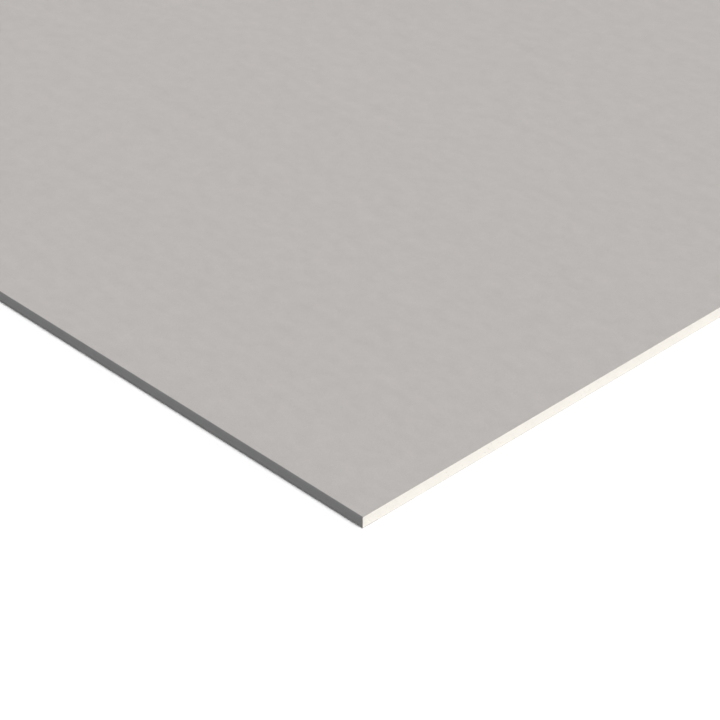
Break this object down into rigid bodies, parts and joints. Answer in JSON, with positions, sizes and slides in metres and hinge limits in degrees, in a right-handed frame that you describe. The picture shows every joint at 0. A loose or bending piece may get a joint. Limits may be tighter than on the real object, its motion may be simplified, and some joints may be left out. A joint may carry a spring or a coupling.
{
  "type": "drywall sheet",
  "caption": "Flat square-edge drywall sheet: a gypsum core between a face paper that wraps both long edges and a back paper, with both ends cut square.",
  "frame": {"origin": "centre of the back, the face on which the sheet lies", "axes": "+X along the sheet's length, +Y across its width, +Z out of the back and through to the face"},
  "size_m": [2.4384, 1.2192, 0.0127],
  "materials": {
    "gypsum": "matte",
    "face_liner": null,
    "back_liner": null
  },
  "bodies": {
    "root": {"gypsum_core": "gypsum", "face_paper": "face_liner", "back_paper": "back_liner"}
  },
  "joints": []
}
